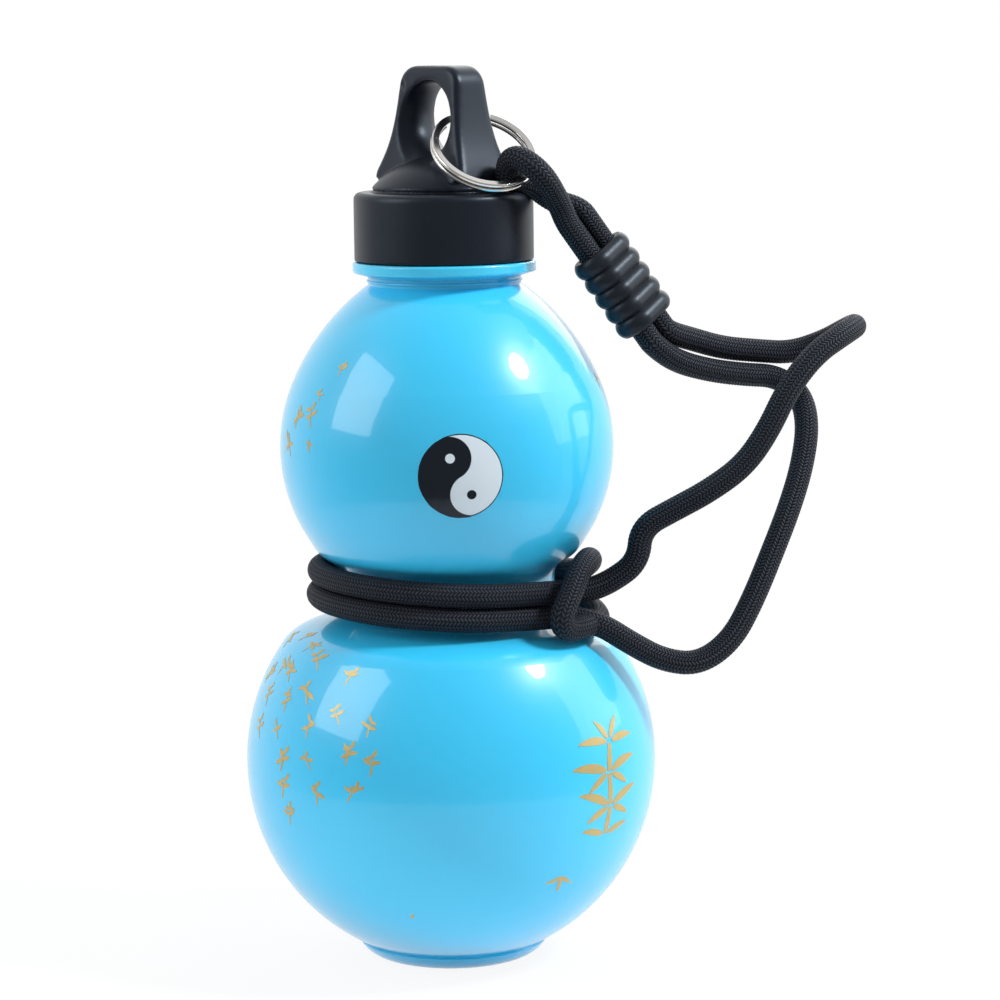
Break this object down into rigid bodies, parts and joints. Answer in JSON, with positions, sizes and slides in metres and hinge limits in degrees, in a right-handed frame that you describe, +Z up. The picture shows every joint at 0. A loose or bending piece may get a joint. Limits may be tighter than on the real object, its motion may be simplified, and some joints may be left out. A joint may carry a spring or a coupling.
{
  "type": "water bottle",
  "caption": "Gourd-shaped plastic water bottle of two bulbs with a threaded neck, a screw cap with a loop handle, and a carry cord tied round the waist.",
  "frame": {"origin": "centre of the base, on the surface that the bottle stands on", "axes": "+Z up along the bottle's axis; the cap's handle runs along X and its hole opens along Y"},
  "size_m": [0.1507, 0.1573, 0.261],
  "materials": {
    "shell": "glossy moulded sky blue",
    "cap": "satin moulded black",
    "gasket": "soft silicone",
    "ring": "bright nickel plating",
    "keeper": "satin black rubber",
    "cord": "herringbone braid"
  },
  "bodies": {
    "bottle": {"bottle_shell": "shell"},
    "gasket": {"cap_gasket": "gasket"},
    "cap": {"cap_shell": "cap", "cap_insert": "cap", "cord_ring_loop": "cord"},
    "ring": {"split_ring": "ring"},
    "keeper": {"cord_keeper": "keeper"},
    "waist_loop": {"cord_waist_wrap": "cord", "cord_leg_upper": "cord", "cord_leg_lower": "cord"}
  },
  "joints": [
    {"name": "cap_lift", "type": "slide", "parent": "bottle", "child": "gasket", "axis": [0, 0, 1], "range_m": [0, 0.012]},
    {"name": "cap_turn", "type": "hinge", "parent": "gasket", "child": "cap", "pos_m": [0, 0, 0.215], "axis": [0, 0, 1], "range_deg": [0, 720]},
    {"name": "ring_swing", "type": "hinge", "parent": "cap", "child": "ring", "pos_m": [0.0263, 0.0095, 0.2311], "axis": [-0.361, 0.761, 0.539], "range_deg": [0, 4]},
    {"name": "keeper_slide", "type": "slide", "parent": "cap", "child": "keeper", "axis": [-0.3221, -0.4711, 0.8212], "range_m": [0, 0.005]},
    {"name": "strap_give", "type": "slide", "parent": "cap", "child": "waist_loop", "axis": [0, 0, -1], "range_m": [0, 0.012], "deforming": ["cord_leg_upper", "cord_leg_lower"]}
  ],
  "couplings": [
    {"joint": "cap_turn", "follows": "cap_lift", "rad_per_m": 1047.2},
    {"joint": "strap_give", "follows": "cap_lift", "ratio": 1}
  ]
}
